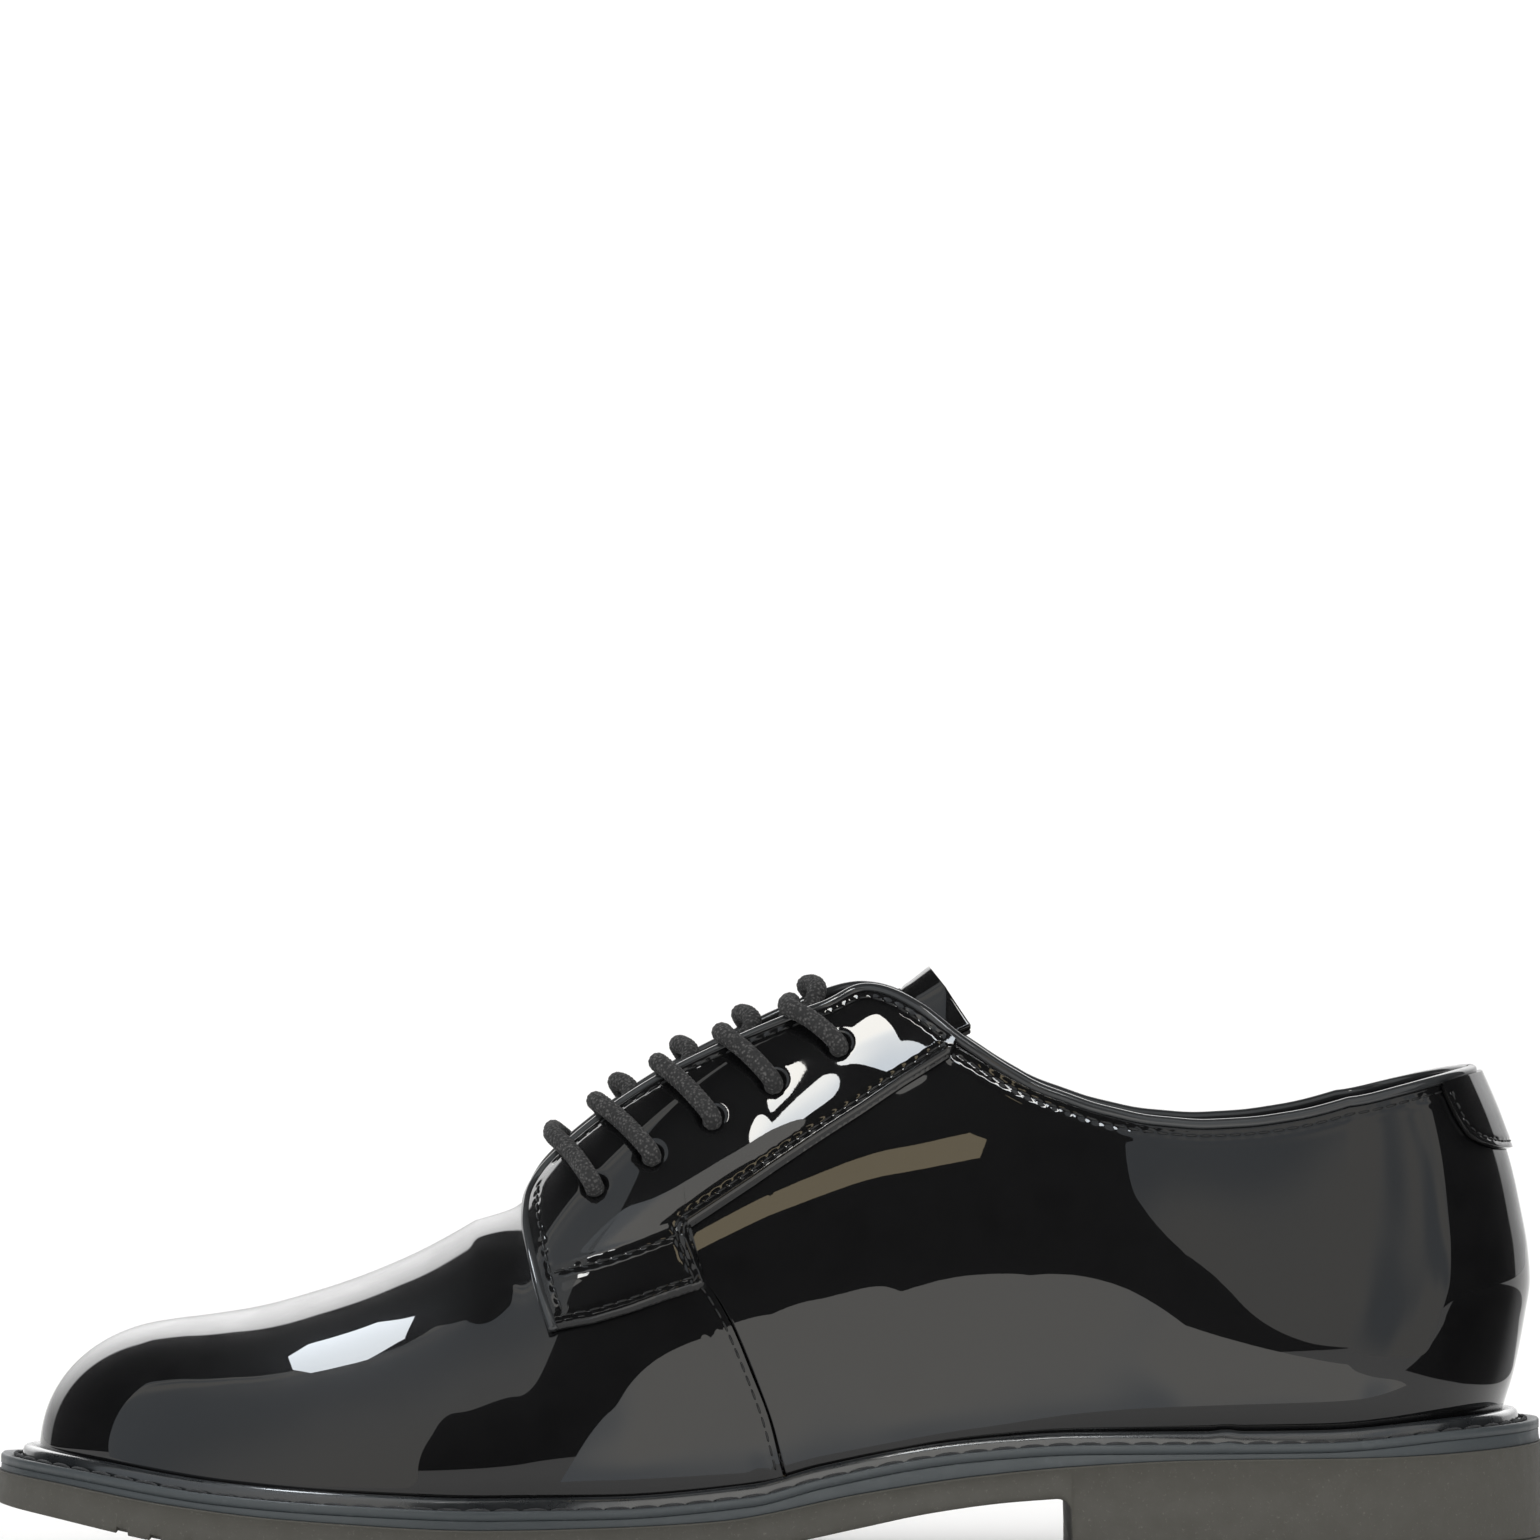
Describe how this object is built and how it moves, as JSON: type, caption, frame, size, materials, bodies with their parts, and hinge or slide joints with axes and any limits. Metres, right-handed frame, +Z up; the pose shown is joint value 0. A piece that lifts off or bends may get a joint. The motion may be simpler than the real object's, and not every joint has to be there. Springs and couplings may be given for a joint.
{
  "type": "lace-up leather shoe",
  "caption": "Right-foot open-laced plain-toe dress shoe in black patent leather on a welted rubber sole with a block heel, laced shut with a round cord",
  "frame": {"origin": "centre of the bounding box in plan, on the ground under the sole", "axes": "+X towards the heel, toe at -X; +Y towards the outer side of the foot; +Z up"},
  "size_m": [0.3031, 0.1071, 0.1155],
  "materials": {
    "patent_leather": "high-gloss black patent leather",
    "edge_binding": "glossy rolled edge",
    "lining_leather": "matte dark lining leather",
    "sock_leather": "matte dark sock leather",
    "fibre_board": "pressed fibre board",
    "interlining_cloth": "woven cotton interlining",
    "cork": "granulated cork",
    "shank_steel": "spring steel",
    "heel_foam": "soft felted foam",
    "outsole_rubber": "matte speckled grey-brown rubber",
    "midsole_rubber": "smooth satin dark grey rubber",
    "welt_rubber": "glossy black welt",
    "thread": "waxed black thread",
    "lace_cotton": "round braided charcoal cotton",
    "aglet_plastic": "clear-coated black sleeve",
    "eyelet_metal": "black enamelled metal"
  },
  "bodies": {
    "shoe": {"vamp": "patent_leather", "quarter_inner": "patent_leather", "quarter_outer": "patent_leather", "facing_inner": "patent_leather", "facing_outer": "patent_leather", "heel_tab": "patent_leather", "binding_inner": "edge_binding", "binding_outer": "edge_binding", "vamp_lining": "lining_leather", "quarter_lining_inner": "lining_leather", "quarter_lining_outer": "lining_leather", "sock_liner": "sock_leather", "insole_board": "fibre_board", "toe_puff": "fibre_board", "heel_counter": "fibre_board", "interlining_inner": "interlining_cloth", "interlining_outer": "interlining_cloth", "cork_filler": "cork", "shank": "shank_steel", "heel_pad": "heel_foam", "outsole": "outsole_rubber", "heel_lift": "outsole_rubber", "midsole": "midsole_rubber", "storm_welt": "welt_rubber", "welt_thread": "thread", "lace": "lace_cotton", "lace_end_inner": "lace_cotton", "lace_end_outer": "lace_cotton", "aglet_inner": "aglet_plastic", "aglet_outer": "aglet_plastic", "eyelets_inner": "eyelet_metal", "eyelets_outer": "eyelet_metal"},
    "tongue": {"tongue": "patent_leather", "tongue_lining": "lining_leather"}
  },
  "joints": [
    {"name": "tongue_hinge", "type": "hinge", "parent": "shoe", "child": "tongue", "pos_m": [-0.043, -0.0002, 0.068], "axis": [0, 1, 0], "range_deg": [0, 10], "stiffness_Nm_per_rad": 0.15, "springref_deg": -5.73}
  ]
}
